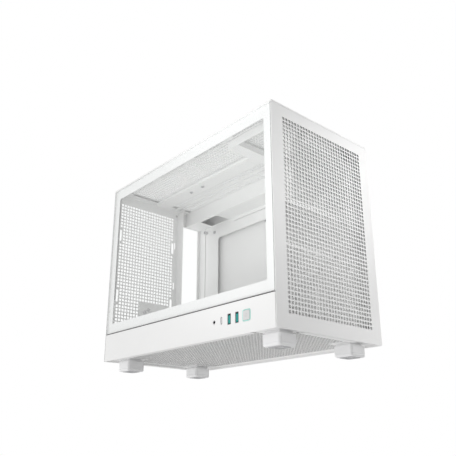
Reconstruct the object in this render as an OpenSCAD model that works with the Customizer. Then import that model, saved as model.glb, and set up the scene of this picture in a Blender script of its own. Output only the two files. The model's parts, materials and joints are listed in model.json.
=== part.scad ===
// Compact desktop computer tower: steel chassis, tempered glass side, perforated front and top panels.
// Inside the in_case() frame, x runs from the glass side, y from the front and z from the shell's lower edge.

/* [Shell] */
// Width of the shell, glass side to steel side
case_w = 192; // [188:1:200]
// Length of the shell, front to rear
case_l = 368; // [364:1:376]
// Height of the shell without its feet
case_h = 283.5; // [282:0.5:290]
// Thickness of the steel sheets
sheet_t = 1; // [0.8:0.1:1.2]
// Width of the seams between the outer panels
seam = 0.8; // [0.5:0.1:1]
// Height of the fixed lower skirts
skirt_h = 40; // [38:1:42]

/* [Feet] */
// Height of the feet below the shell
foot_h = 15.5; // [12:0.5:18]
// Side of each square foot
foot_w = 29; // [26:1:30]
// Radius of the feet's upright corners
foot_r = 4; // [4:0.5:7]

/* [Glass panel] */
// Thickness of the tempered glass
glass_t = 4; // [3:0.5:4]
// Radius of the glass corners
glass_r = 2; // [1:0.5:4]
// Width of the printed border along the front edge
border_front = 13.6; // [12:0.2:14]
// Width of the printed border along the rear edge
border_rear = 13.4; // [12:0.2:14]
// Width of the printed border along the upper edge
border_top = 16.4; // [15:0.2:18]
// Width of the printed border along the lower edge
border_low = 15; // [12:0.2:15]

/* [Perforation] */
// Pitch of the square ventilation holes
vent_pitch = 10.72; // [10.6:0.02:10.8]
// Side of a ventilation hole
vent_hole = 7.4; // [6:0.2:8]

/* [Ports and button] */
// Height of the row of ports above the shell's lower edge
port_z = 21; // [20:0.5:22]
// Distance from one port to the next
port_pitch = 13.7; // [13.5:0.1:14]
// Side of the power button's cap
button_w = 11.4; // [10.6:0.1:11.6]
// Travel of the power button
button_travel = 1; // [0.5:0.1:1]

/* [Hidden] */
$fn = 32;
white = "whitesmoke";
eps = 0.01;

// Heights and depths of the main sheets
lid_h = 2;                                   // depth of the top panel's folded edge
wall_top = case_h - lid_h - 0.5;             // upper edge of the front, rear, glass and side panels
top_z = case_h - 4;                          // upper side of the top frame's sheet is at top_z + sheet_t
floor_z = 3;                                 // lower side of the foot seats, pressed up from the bottom plate
frame_y = 12;                                // front side of the front inner frame
rear_y = case_l - sheet_t;                   // inner side of the rear wall
side_y0 = 2;                                 // front edge of the glass, skirts and right panel
side_y1 = rear_y - seam;                     // their rear edge
side_z0 = skirt_h + 1.2;                     // lower edge of the glass and the right panel
wing_x = 9;                                  // outer side of the chassis wings on the glass side
tray_x = case_w - 8.5;                       // inner side of the motherboard tray
beam_x = 150;                                // face of the side beam
beam_z = 255;                                // underside of the side beam
step_z = 249;                                // lower edge of the beam's flange in front of the tray
step_y = case_l - 96;                        // rear end of that flange

// Standard sizes of the parts that fit in the case
board_hole_z = 154.94;                       // motherboard hole spacing, upright
board_hole_y = 157.48;                       // motherboard hole spacing, front to rear
board_hole_drop = 22.86;                     // how much lower the upper front hole is
board_hole_r = 2.2;                          // standoff seats in the tray
standoff_h = 6.5;
io_w = 44.45;                                // rear connector opening
io_h = 158.75;
slot_pitch = 20.32;                          // expansion slots
slot_w = 14.6;
slot_l = 98;
fan_pitch = 105;                             // hole spacing of a 120 mm fan
fan_slot_w = 4.4;

// Places that several pieces share
io_x0 = tray_x - 50;
io_z0 = 95.5;
io_wing = 16;                                // depth of the wings beside the connector opening
board_y = case_l - 22.5;                     // rear row of motherboard holes
board_z = 246;                               // upper row of motherboard holes
slot_x0 = 80;
slot_z = [85.2, 85.2 - slot_pitch, 85.2 - 2 * slot_pitch];
slot_screw_places = [[76.3, 91.1], [69.3, 85.9], [69.3, slot_z[1]], [69.3, slot_z[2]]];
retainer_z = 96.5;
rail_x = 24;                                 // slot line of the left fan rail
foot_x = 32;                                 // centre of the feet from each side
foot_y = 28;                                 // centre of the feet from each end
foot_places = [for (x = [foot_x, case_w - foot_x], y = [foot_y, case_l - foot_y]) [x, y]];
seat_half = foot_w / 2 + 1.2;                // half of a foot's seat
foot_neck = foot_w / 2 - 3.5;                // half of the foot's neck in that seat
neck_h = 0.5;                                // how much of the neck shows below the shell
button_y = 48.3;
usb_2_y = 64.7;
usb_1_y = usb_2_y + port_pitch;
usb_c_y = usb_1_y + port_pitch;
audio_y = usb_c_y + port_pitch;
board_x = 13;                                // port side of the circuit board
post_y = [button_y - 13, audio_y + 8];       // the board's two posts
post_z = 12.5;
stud_z = [48, 271];                          // snap studs of the side panels
side_stud_y = [7.5, rear_y - 5.5];
front_stud_z = [24, 249];
front_stud_x = [15.5, case_w - 15.5];
top_stud_y = [26, case_l - 30];
top_stud_x = [14, case_w - 14];
stud_base_r = 3.5;
stud_neck_r = 1.6;
ball_r = 2.3;
frame_in = 5.4;                              // how far the front panel's inner frame is set in
frame_t = 1.4;                               // and its thickness
socket_bore_r = 2.7;
socket_r = 4;
socket_rim_r = 5;
tray_screw_places = [[324.3, 241.7], [80, 241.7], [324.3, 16], [80, 16]];
cradle_x = 29.6;
cradle_z = 267.7;
cradle_y = 111.7;
proud_left = 0.6;                            // how far the power button stands out
proud_rear = 3;                              // and the power inlet with its screw heads
inlet_x = 40;
inlet_z = 24;

// The origin is under the middle of the whole object, proud parts included
module in_case() translate([(proud_left - case_w) / 2, -(case_l + proud_rear) / 2, foot_h]) children();

// Sheets from a flat outline: floor_sheet in x and y, wall_sheet in x and z, side_sheet in y and z
module floor_sheet(z, t = sheet_t) translate([0, 0, z]) linear_extrude(t) children();
module wall_sheet(y, t = sheet_t) translate([0, y + t, 0]) rotate([90, 0, 0]) linear_extrude(t) children();
module side_sheet(x, t = sheet_t) translate([x, 0, 0]) rotate([90, 0, 90]) linear_extrude(t) children();

module rect(x0, y0, x1, y1) translate([x0, y0]) square([x1 - x0, y1 - y0]);

module rounded(x0, y0, x1, y1, r) {
    rect(x0 + r, y0, x1 - r, y1);
    rect(x0, y0 + r, x1, y1 - r);
    for (x = [x0 + r, x1 - r], y = [y0 + r, y1 - r]) translate([x, y]) circle(r);
}

module vent_grid(x, y, columns, rows)
    for (i = [0 : columns - 1], j = [0 : rows - 1])
        translate([x + (i - (columns - 1) / 2) * vent_pitch, y + (j - (rows - 1) / 2) * vent_pitch])
            square(vent_hole, center = true);

module slot_line(x, y, length, w)
    rounded(x - w / 2, y - length / 2, x + w / 2, y + length / 2, w / 2 - eps);

module box(x0, x1, y0, y1, z0, z1) translate([x0, y0, z0]) cube([x1 - x0, y1 - y0, z1 - z0]);

// Upright cylinder along each axis, from its low end
module rod_x(x, y, z, r, l) translate([x, y, z]) rotate([0, 90, 0]) cylinder(r = r, h = l);
module rod_y(x, y, z, r, l) translate([x, y + l, z]) rotate([90, 0, 0]) cylinder(r = r, h = l);
module rod_z(x, y, z, r, l) translate([x, y, z]) cylinder(r = r, h = l);

// ---- Chassis sheets ----

// Seats of the feet, open to the shell's edges and grown by g on their inner sides
module foot_seats(g) for (p = foot_places) rect(
    p[0] < case_w / 2 ? sheet_t : p[0] - seat_half - g,
    p[1] < case_l / 2 ? side_y0 : p[1] - seat_half - g,
    p[0] < case_w / 2 ? p[0] + seat_half + g : case_w - sheet_t,
    p[1] < case_l / 2 ? p[1] + seat_half + g : rear_y
);

module bottom_plate() color(white) in_case() {
    floor_sheet(0) difference() {
        rect(sheet_t, side_y0, case_w - sheet_t, rear_y);
        foot_seats(0);
        difference() {
            vent_grid(case_w / 2, 132, 15, 22);
            foot_seats(4);
        }
    }
    difference() {
        floor_sheet(0, floor_z + sheet_t) foot_seats(sheet_t);
        floor_sheet(-eps, floor_z + eps) foot_seats(0);
        for (p = foot_places) rod_z(p[0], p[1], floor_z - eps, 2.1, sheet_t + 2 * eps);
    }
    // Upturned edges that the skirts are riveted to
    for (x = [sheet_t, case_w - 2 * sheet_t]) box(x, x + sheet_t, 50, case_l - 50, sheet_t, 9);
}

module left_skirt() color(white) in_case() difference() {
    union() {
        box(0, sheet_t, side_y0, side_y1, 0, skirt_h);
        box(sheet_t, 8, 14, rear_y - 14, skirt_h - sheet_t, skirt_h);
    }
    side_sheet(-eps, sheet_t + 2 * eps) {
        rounded(button_y - 7, port_z - 7, button_y + 7, port_z + 7, 2.8);
        for (y = [usb_1_y, usb_2_y]) rounded(y - 3, port_z - 6.75, y + 3, port_z + 6.75, 0.4);
        rounded(usb_c_y - 1.85, port_z - 4.65, usb_c_y + 1.85, port_z + 4.65, 1.8);
        translate([audio_y, port_z]) circle(2.6);
    }
}

module right_skirt() color(white) in_case() {
    box(case_w - sheet_t, case_w, side_y0, side_y1, 0, skirt_h);
    box(case_w - 7, case_w - sheet_t, 14, rear_y - 14, skirt_h - sheet_t, skirt_h);
}

module rear_wall_openings() {
    // Fan grille, its two lower columns beside the expansion slots, and the slotted fan holes
    vent_grid(69.5, 183.6, 10, 15);
    vent_grid(69.5 - 3 * vent_pitch, 183.6 - 10 * vent_pitch, 4, 5);
    for (x = [69.5 - fan_pitch / 2, 69.5 + fan_pitch / 2], z = [208.5, 106.5])
        slot_line(x, z, 20, fan_slot_w);
    // Connector opening, expansion slots and the two lacing slots
    rect(io_x0, io_z0, io_x0 + io_w, io_z0 + io_h);
    for (z = slot_z) rect(slot_x0, z - slot_w / 2, slot_x0 + slot_l, z + slot_w / 2);
    for (z = [214, 140.8]) slot_line(126.6, z, 12.7, 2.4);
    // Power inlet with its two screws
    rounded(inlet_x - 14, inlet_z - 10.2, inlet_x + 14, inlet_z + 10.2, 1);
    for (x = [inlet_x - 20, inlet_x + 20]) translate([x, inlet_z]) circle(1.7);
}

module rear_wall() color(white) in_case() difference() {
    union() {
        difference() {
            wall_sheet(rear_y) rect(0, 0, case_w, wall_top);
            wall_sheet(rear_y - eps, sheet_t + 2 * eps) rear_wall_openings();
        }
        // Wings on the glass side, beside the connector opening and at the tray, and the upper flange
        box(wing_x, wing_x + sheet_t, rear_y - 10, rear_y, retainer_z, wall_top);
        box(wing_x, wing_x + sheet_t, rear_y - 10, rear_y, skirt_h, 56);
        box(io_x0 - 1.4, io_x0 - 0.4, rear_y - io_wing, rear_y, retainer_z, 276);
        box(tray_x, tray_x + sheet_t, rear_y - io_wing, rear_y, floor_z + sheet_t, 276);
        box(wing_x + sheet_t, 119, rear_y - 12, rear_y, top_z, top_z + sheet_t);
    }
    for (z = stud_z) {
        rod_x(wing_x - eps, side_stud_y[1], z, socket_r, sheet_t + 2 * eps);
        rod_x(tray_x - eps, side_stud_y[1], z, socket_r, sheet_t + 2 * eps);
    }
    for (p = slot_screw_places) rod_y(p[0], rear_y - eps, p[1], 1.5, sheet_t + 2 * eps);
}

module front_inner_frame() color(white) in_case() difference() {
    union() {
        difference() {
            wall_sheet(frame_y) rect(wing_x, floor_z + sheet_t, tray_x + sheet_t, top_z + sheet_t);
            wall_sheet(frame_y - eps, sheet_t + 2 * eps) {
                // Upper opening in front of the power supply, then the cable slots of the lower part
                rounded(22, 161.5, 171.4, 276, 3);
                rounded(24, 103, 168, 108, 2);
                slot_line(84.3, 43, 26, 4);
                slot_line(155.7, 66, 12, 4);
                slot_line(155.7, 30.5, 14, 4);
            }
        }
        for (x = [wing_x, tray_x]) box(x, x + sheet_t, 3.2, frame_y, skirt_h + 2, 277);
    }
    for (z = stud_z, x = [wing_x, tray_x])
        rod_x(x - eps, side_stud_y[0], z, socket_r, sheet_t + 2 * eps);
    for (x = front_stud_x, z = front_stud_z) rod_y(x, frame_y - eps, z, socket_r, sheet_t + 2 * eps);
}

module top_frame() color(white) in_case() difference() {
    floor_sheet(top_z) difference() {
        union() {
            // Rails on the glass side and in the middle, the strip over the beam and the front bar
            rect(wing_x, 13, 28, rear_y - 12);
            rect(120, 13, 136, rear_y);
            rect(beam_x - 1, 13, tray_x + sheet_t, rear_y);
            rect(28, 13, beam_x - 1, 34);
            rect(136, rear_y - 12, beam_x - 1, rear_y);
        }
        for (i = [0 : 3]) {
            slot_line(rail_x, case_l - 49 - i * 85, 62, 4);
            slot_line(rail_x + fan_pitch, case_l - 46 - i * 85, 75, 4);
        }
    }
    for (x = top_stud_x, y = top_stud_y) rod_z(x, y, top_z - eps, socket_r, sheet_t + 2 * eps);
}

module top_center_brace() color(white) in_case() {
    brace_z = top_z - 4;
    difference() {
        box(78, 103, cradle_y, rear_y - 12, brace_z, brace_z + sheet_t);
        for (y = [case_l - 95.8, case_l - 125.4]) rod_z(89.5, y, brace_z - eps, 1.7, sheet_t + 2 * eps);
    }
    box(78, 79, cradle_y, rear_y - 12, brace_z + sheet_t, top_z);
    box(79, 103, rear_y - 13, rear_y - 12, brace_z + sheet_t, top_z + sheet_t);
}

module brace_screws() color("gainsboro") in_case() for (y = [case_l - 95.8, case_l - 125.4]) {
    rod_z(89.5, y, top_z - 5.6, 3, 1.6);
    rod_z(89.5, y, top_z - 4, 1.5, 4);
}

module side_beam() color(white) in_case() {
    box(beam_x, beam_x + sheet_t, 13, rear_y, beam_z, top_z);
    floor_sheet(beam_z) difference() {
        rect(beam_x + sheet_t, 13, tray_x, rear_y);
        rounded(154.5, case_l - 84, 182.5, case_l - 38, 3);
    }
    // Flange that covers the tray's lowered edge
    box(tray_x - sheet_t, tray_x, 13, step_y, step_z, beam_z);
}

module motherboard_tray() color(white) in_case() side_sheet(tray_x) difference() {
    rect(13, floor_z + sheet_t, rear_y - io_wing - 1.4, beam_z);
    // Step under the beam, cut-out behind the processor and the two cable openings
    rect(13 - eps, step_z - 0.5, step_y, beam_z + eps);
    rounded(195, 105, case_l - 53, 229.5, 6);
    rounded(34, 60, 62, 150, 5);
    rounded(90, 30, 170, 52, 5);
    for (p = standoff_places()) translate(p) circle(board_hole_r);
    for (p = tray_screw_places) translate(p) circle(1.7);
}

function standoff_places() = [
    [board_y, board_z], [board_y, board_z - board_hole_z],
    [board_y - board_hole_y, board_z - board_hole_drop], [board_y - board_hole_y, board_z - board_hole_z]
];

module motherboard_standoffs() color("silver") in_case() for (p = standoff_places()) difference() {
    union() {
        translate([tray_x - standoff_h, p[0], p[1]]) rotate([0, 90, 0]) cylinder(r = 3, h = standoff_h, $fn = 6);
        rod_x(tray_x, p[0], p[1], board_hole_r - 0.05, sheet_t + 0.6);
    }
    rod_x(tray_x - standoff_h - eps, p[0], p[1], 1.5, 6);
}

module psu_cradle() color(white) in_case() {
    box(cradle_x, cradle_x + 1, 13, cradle_y, cradle_z, top_z);
    box(cradle_x + 1, beam_x, cradle_y - 20, cradle_y, cradle_z, cradle_z + 1);
    box(cradle_x + 1, beam_x, cradle_y - 20, cradle_y - 19, cradle_z + 1, cradle_z + 8);
    box(cradle_x + 1, beam_x, cradle_y - 1, cradle_y, cradle_z + 1, top_z - 3);
    box(cradle_x + 1, beam_x, 13, 30, cradle_z, cradle_z + 1);
}

module psu_stop_plate() color(white) in_case() {
    wall_sheet(14) {
        rounded(50, 169.5, 156, beam_z - 0.5, 3);
        for (x = [60, 130]) rect(x, 250, x + 10, cradle_z);
    }
    for (x = [60, 130]) box(x, x + 10, 15 - eps, 28, cradle_z - sheet_t, cradle_z);
}

module tray_screws() color("silver") in_case() for (p = tray_screw_places) {
    rod_x(tray_x - 1.8, p[0], p[1], 3, 1.8);
    rod_x(tray_x, p[0], p[1], 1.5, sheet_t + 1.5);
}

// ---- Expansion slots and power inlet ----

module slot_cover(z) color(white) in_case() {
    difference() {
        wall_sheet(rear_y - sheet_t) rect(60, z - 9.2, slot_x0 + slot_l + 5, z + 9.2);
        wall_sheet(rear_y - sheet_t - eps, sheet_t + 2 * eps) {
            for (i = [0 : 8]) rounded(slot_x0 + 6 + i * 10.4, z - 4.5, slot_x0 + 11 + i * 10.4, z + 4.5, 2);
            for (p = slot_screw_places) translate(p) circle(2.2);
        }
    }
}

module slot_cover_1() slot_cover(slot_z[0]);
module slot_cover_2() slot_cover(slot_z[1]);
module slot_cover_3() slot_cover(slot_z[2]);

module slot_retainer() color(white) in_case() difference() {
    union() {
        wall_sheet(rear_y - 2 * sheet_t) rect(58.6, 34, 73, retainer_z);
        wall_sheet(rear_y - 2 * sheet_t) rect(73 - eps, 78, 104, retainer_z);
        box(58.6, 59.6, rear_y - 12, rear_y - 2 * sheet_t, 34, 74);
    }
    for (p = slot_screw_places) rod_y(p[0], rear_y - 3, p[1], 1.7, 2);
}

module slot_screws() color("silver") in_case() for (p = slot_screw_places) {
    rod_y(p[0], rear_y - 4.4, p[1], 3, 2.4);
    rod_y(p[0], rear_y - 2, p[1], 1.4, 4);
}

module ac_inlet() color("dimgray") in_case() difference() {
    union() {
        wall_sheet(case_l, 1.6) rounded(inlet_x - 25, inlet_z - 12, inlet_x + 25, inlet_z + 12, 3);
        box(inlet_x - 13.6, inlet_x + 13.6, case_l - 16, case_l, inlet_z - 9.8, inlet_z + 9.8);
    }
    box(inlet_x - 12, inlet_x + 12, case_l - 13, case_l + 2, inlet_z - 8, inlet_z + 8);
    box(inlet_x - 1, inlet_x + 1, case_l - 15, case_l - 12, inlet_z + 1, inlet_z + 5);
    for (x = [inlet_x - 7, inlet_x + 7])
        box(x - 1, x + 1, case_l - 15, case_l - 12, inlet_z - 5, inlet_z - 1);
    for (x = [inlet_x - 20, inlet_x + 20]) rod_y(x, case_l - eps, inlet_z, 1.7, 2);
}

module ac_inlet_pins() color("silver") in_case() {
    box(inlet_x - 1, inlet_x + 1, case_l - 15, case_l - 1, inlet_z + 1, inlet_z + 5);
    for (x = [inlet_x - 7, inlet_x + 7])
        box(x - 1, x + 1, case_l - 15, case_l - 2, inlet_z - 5, inlet_z - 1);
}

module ac_inlet_screws() color("silver") in_case() for (x = [inlet_x - 20, inlet_x + 20]) {
    rod_y(x, case_l + 1.6, inlet_z, 3, 1.4);
    rod_y(x, case_l - 5, inlet_z, 1.5, 6.6);
}

// ---- Front ports and power button, in the glass-side skirt ----

module io_board() color("darkgreen") in_case() side_sheet(board_x, 1.6) difference() {
    rect(post_y[0] - 3.5, 9, post_y[1] + 3.5, 33);
    for (y = post_y) translate([y, post_z]) circle(1.7);
}

module io_board_posts() color("silver") in_case() for (y = post_y) difference() {
    rod_x(sheet_t, y, post_z, 2.8, board_x - sheet_t);
    rod_x(board_x - 6, y, post_z, 1.2, 6 + eps);
}

module io_board_screws() color("silver") in_case() for (y = post_y) {
    rod_x(board_x + 1.6, y, post_z, 2.7, 1.6);
    rod_x(board_x - 5, y, post_z, 1.1, 6.6);
}

module usb_a_shell(y) color("silver") in_case() difference() {
    box(0.4, board_x, y - 2.9, y + 2.9, port_z - 6.6, port_z + 6.6);
    box(0, board_x - 2, y - 2.55, y + 2.55, port_z - 6.25, port_z + 6.25);
}
module usb_a_shell_1() usb_a_shell(usb_1_y);
module usb_a_shell_2() usb_a_shell(usb_2_y);

module usb_a_tongue(y) color("teal") in_case() box(1.2, board_x - 2, y + 0.1, y + 2.1, port_z - 5.7, port_z + 5.7);
module usb_a_tongue_1() usb_a_tongue(usb_1_y);
module usb_a_tongue_2() usb_a_tongue(usb_2_y);

module usb_c_shell() color("silver") in_case() difference() {
    side_sheet(0.4, board_x - 0.4)
        rounded(usb_c_y - 1.6, port_z - 4.4, usb_c_y + 1.6, port_z + 4.4, 1.55);
    side_sheet(0, board_x - 2)
        rounded(usb_c_y - 1.3, port_z - 4.1, usb_c_y + 1.3, port_z + 4.1, 1.25);
}

module usb_c_tongue() color("lightgray") in_case()
    box(1, board_x - 2, usb_c_y - 0.8, usb_c_y + 0.8, port_z - 3.5, port_z + 3.5);

module audio_jack() color("dimgray") in_case() difference() {
    union() {
        rod_x(0.3, audio_y, port_z, 2.5, 1.7);
        box(2, board_x, audio_y - 3, audio_y + 3, port_z - 3, port_z + 3);
    }
    rod_x(0, audio_y, port_z, 1.8, board_x - 1.5);
}

module button_switch() color("black") in_case() {
    box(board_x - 3.4, board_x, button_y - 3, button_y + 3, port_z - 3, port_z + 3);
    rod_x(board_x - 4.2, button_y, port_z, 1.7, 0.8 + eps);
}

module button_light_ring() color("mediumturquoise") in_case() difference() {
    union() {
        side_sheet(-0.2, 1.2) rounded(button_y - 6.8, port_z - 6.8, button_y + 6.8, port_z + 6.8, 2.7);
        side_sheet(sheet_t, 3) rounded(button_y - 8.4, port_z - 8.4, button_y + 8.4, port_z + 8.4, 2.7);
    }
    side_sheet(-1, 6) rounded(button_y - 5.95, port_z - 5.95, button_y + 5.95, port_z + 5.95, 1.9);
}

module power_button() color("lightgray") in_case() {
    half = button_w / 2;
    side_sheet(-proud_left, 3 + proud_left) rounded(button_y - half, port_z - half, button_y + half, port_z + half, 1.7);
    rod_x(3, button_y, port_z, 1.6, board_x - 4.3 - button_travel - 3);
}

// ---- Feet ----

// Rounded square block with a chamfer along its lower edge
module foot_block(w, r, z0, z1, cut) {
    straight = w - 2 * r;
    side = [[0, z0], [w / 2 - cut, z0], [w / 2, z0 + cut], [w / 2, z1], [0, z1]];
    corner = [[0, z0], [r - cut, z0], [r, z0 + cut], [r, z1], [0, z1]];
    for (a = [0 : 90 : 270]) rotate([0, 0, a]) {
        translate([0, straight / 2, 0]) rotate([90, 0, 0]) linear_extrude(straight) polygon(side);
        translate([straight / 2, straight / 2, 0]) rotate_extrude() polygon(corner);
    }
}

module foot(x, y) color("gainsboro") in_case() translate([x, y, -foot_h]) difference() {
    union() {
        foot_block(foot_w, foot_r, 0.5, foot_h - neck_h, 2);
        translate([0, 0, foot_h - neck_h - eps]) linear_extrude(floor_z + neck_h + eps)
            rounded(-foot_neck, -foot_neck, foot_neck, foot_neck, 3);
    }
    translate([0, 0, -eps]) cylinder(r = 5, h = 9);
    cylinder(r = 2.1, h = foot_h + floor_z + 1);
}
module foot_front_left() foot(foot_x, foot_y);
module foot_front_right() foot(case_w - foot_x, foot_y);
module foot_rear_left() foot(foot_x, case_l - foot_y);
module foot_rear_right() foot(case_w - foot_x, case_l - foot_y);

module foot_pads() color("darkgray") in_case()
    for (p = foot_places)
        translate([p[0], p[1], -foot_h]) difference() {
            linear_extrude(0.5) rounded(-10.5, -10.5, 10.5, 10.5, 4);
            translate([0, 0, -eps]) cylinder(r = 5.4, h = 1);
        }

module foot_screws() color("silver") in_case()
    for (p = foot_places)
        translate([p[0], p[1], 9 - foot_h - eps]) {
            translate([0, 0, -2.4]) cylinder(r = 3.6, h = 2.4);
            cylinder(r = 1.9, h = foot_h + floor_z - 9 + 4);
        }

// ---- Snap studs, their sockets and the rivets ----

// Socket along +z: rim on the sheet's outer side, tube through the sheet
module socket() difference() {
    union() {
        cylinder(r = socket_rim_r, h = 0.8);
        translate([0, 0, 0.8]) cylinder(r = socket_r - 0.05, h = 4.4);
    }
    translate([0, 0, -eps]) cylinder(r = socket_bore_r, h = 6);
}

// Stud along +z, standing on a panel: base, neck and ball
module stud(neck) {
    cylinder(r1 = stud_base_r, r2 = stud_base_r - 0.6, h = 1);
    cylinder(r = stud_neck_r, h = neck);
    translate([0, 0, neck]) sphere(r = ball_r);
}

module at_left(x) for (y = side_stud_y, z = stud_z) translate([x, y, z]) rotate([0, 90, 0]) children();
module at_right(x) for (y = side_stud_y, z = stud_z) translate([x, y, z]) rotate([0, -90, 0]) children();
module at_front(y) for (x = front_stud_x, z = front_stud_z)
    translate([x, y, z]) rotate([-90, 0, 0]) children();
module at_top(z) for (x = top_stud_x, y = top_stud_y) translate([x, y, z]) rotate([180, 0, 0]) children();

module glass_sockets() color("gainsboro") in_case() at_left(wing_x - 0.8) socket();
module right_sockets() color("gainsboro") in_case() at_right(tray_x + sheet_t + 0.8) socket();
module front_sockets() color("gainsboro") in_case() at_front(frame_y - 0.8) socket();
module top_sockets() color("gainsboro") in_case() at_top(top_z + sheet_t + 0.8) socket();

module glass_studs() color("dimgray") in_case() at_left(glass_t + 2) stud(4.8);
module right_studs() color("dimgray") in_case() at_right(case_w - sheet_t) stud(7.4);
module front_studs() color("dimgray") in_case() at_front(sheet_t + frame_t) stud(11);
module top_studs() color("dimgray") in_case() at_top(case_h - sheet_t) stud(4.6);

module frame_rivets() color("silver") in_case() {
    // Skirts to the bottom plate's upturned edges
    for (y = [60, 130, 230, 310]) {
        rod_x(2 * sheet_t, y, 6.5, 1.6, 1);
        rod_x(case_w - 2 * sheet_t - 1, y, 6.5, 1.6, 1);
    }
    // Upper corner of the wall beside the connector opening
    rod_y(129, rear_y - 1, 271, 1.8, 1);
}

// ---- Removable panels ----

module glass_sheet() color("lightblue", 0.3) in_case()
    side_sheet(0, glass_t) rounded(side_y0, side_z0, side_y1, wall_top, glass_r);

module glass_border() color(white) in_case() side_sheet(glass_t, 0.3) difference() {
    rounded(side_y0, side_z0, side_y1, wall_top, glass_r);
    rounded(side_y0 + border_front, side_z0 + border_low, side_y1 - border_rear, wall_top - border_top, 2);
}

module glass_rails() color(white) in_case() {
    box(glass_t + 0.3, glass_t + 2, 4.6, 12.4, side_z0 + 2, wall_top - 2);
    box(glass_t + 0.3, glass_t + 2, rear_y - 12, rear_y - 3, side_z0 + 2, wall_top - 2);
}

module right_panel() color(white) in_case() difference() {
    union() {
        box(case_w - sheet_t, case_w, side_y0, side_y1, side_z0, wall_top);
        // Folded edges, set in from the outline
        for (y = [side_y0 + 1, side_y1 - 2])
            box(case_w - 4, case_w - sheet_t, y, y + 1, stud_z[0] + 6, stud_z[1] - 6);
        for (z = [side_z0 + 1, wall_top - 2]) box(case_w - 4, case_w - sheet_t, 16, rear_y - 16, z, z + 1);
    }
    side_sheet(case_w - 1 - eps, sheet_t + 1) vent_grid(66, 218, 9, 8);
}

module front_panel_mesh() color(white) in_case() difference() {
    wall_sheet(0) rect(0, 0, case_w, wall_top);
    wall_sheet(-eps, sheet_t + 2 * eps) vent_grid(case_w / 2, 141.8, 14, 23);
}

// Inner frame that stiffens the perforated sheet and carries its studs
module front_panel_frame() color(white) in_case() wall_sheet(sheet_t, frame_t) difference() {
    rounded(frame_in, 6, case_w - frame_in, wall_top - 3, 3);
    rounded(frame_in + 13.6, 18, case_w - frame_in - 13.6, wall_top - 15, 1);
}

module top_panel_mesh() color(white) in_case() {
    difference() {
        floor_sheet(case_h - sheet_t) rect(0, 0, case_w, case_l);
        floor_sheet(case_h - sheet_t - eps, sheet_t + 2 * eps) vent_grid(case_w / 2, case_l / 2, 14, 30);
    }
    floor_sheet(case_h - lid_h, lid_h - sheet_t) difference() {
        rect(0, 0, case_w, case_l);
        rect(1, 1, case_w - 1, case_l - 1);
    }
}

bottom_plate();
left_skirt();
right_skirt();
rear_wall();
front_inner_frame();
top_frame();
top_center_brace();
brace_screws();
side_beam();
motherboard_tray();
tray_screws();
motherboard_standoffs();
psu_cradle();
psu_stop_plate();
slot_cover_1();
slot_cover_2();
slot_cover_3();
slot_retainer();
slot_screws();
ac_inlet();
ac_inlet_pins();
ac_inlet_screws();
io_board();
io_board_posts();
io_board_screws();
usb_a_shell_1();
usb_a_shell_2();
usb_a_tongue_1();
usb_a_tongue_2();
usb_c_shell();
usb_c_tongue();
audio_jack();
button_switch();
button_light_ring();
power_button();
foot_front_left();
foot_front_right();
foot_rear_left();
foot_rear_right();
foot_pads();
foot_screws();
frame_rivets();
glass_sockets();
right_sockets();
front_sockets();
top_sockets();
glass_sheet();
glass_border();
glass_rails();
glass_studs();
right_panel();
right_studs();
front_panel_mesh();
front_panel_frame();
front_studs();
top_panel_mesh();
top_studs();
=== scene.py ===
"""Looks of the compact desktop computer tower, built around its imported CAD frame.

Shapes are written in millimetres from the shell's lower, front, glass-side corner: x across from the
glass side, y back from the front, z up. Piece.loop() turns them into the shared frame, in metres.
"""

import json
import math

import bmesh
import bpy
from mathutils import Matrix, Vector
from mathutils.geometry import delaunay_2d_cdt


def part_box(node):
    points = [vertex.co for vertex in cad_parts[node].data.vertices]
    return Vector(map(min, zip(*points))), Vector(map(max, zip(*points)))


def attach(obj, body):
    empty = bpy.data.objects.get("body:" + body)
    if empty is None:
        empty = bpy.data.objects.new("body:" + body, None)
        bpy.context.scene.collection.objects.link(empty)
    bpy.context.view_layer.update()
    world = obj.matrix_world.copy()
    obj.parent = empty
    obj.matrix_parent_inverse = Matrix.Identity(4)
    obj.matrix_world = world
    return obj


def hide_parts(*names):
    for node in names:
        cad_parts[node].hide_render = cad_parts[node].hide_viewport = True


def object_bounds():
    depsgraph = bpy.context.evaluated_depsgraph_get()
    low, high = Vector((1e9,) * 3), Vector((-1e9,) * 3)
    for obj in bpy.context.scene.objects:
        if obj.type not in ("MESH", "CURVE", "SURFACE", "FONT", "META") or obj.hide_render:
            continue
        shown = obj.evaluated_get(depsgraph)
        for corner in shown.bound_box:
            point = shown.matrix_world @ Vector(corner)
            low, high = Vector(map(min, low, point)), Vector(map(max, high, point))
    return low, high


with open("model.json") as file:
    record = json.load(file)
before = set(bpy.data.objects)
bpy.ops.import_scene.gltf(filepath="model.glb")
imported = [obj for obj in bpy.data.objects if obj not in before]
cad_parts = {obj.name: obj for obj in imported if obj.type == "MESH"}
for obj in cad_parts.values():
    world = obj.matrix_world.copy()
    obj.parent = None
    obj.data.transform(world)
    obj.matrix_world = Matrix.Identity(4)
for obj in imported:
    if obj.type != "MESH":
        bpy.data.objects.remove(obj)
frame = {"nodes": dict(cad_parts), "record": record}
cad_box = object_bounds()

MM = 0.001
SHEET = 1.0  # thickness of the sheet metal
CORNER = Vector((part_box("left_skirt")[0].x, *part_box("front_panel_mesh")[0].yz))


def span(node):
    """(x0, x1, y0, y1, z0, z1) of a CAD node, in millimetres from the shell's corner."""
    low, high = ((p - CORNER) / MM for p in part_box(node))
    return low.x, high.x, low.y, high.y, low.z, high.z


# ---- Materials ----

WEAR = 0.06  # how far the roughness goes either way
RELIEF = 0.0002  # depth of the fine relief, in metres


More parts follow.
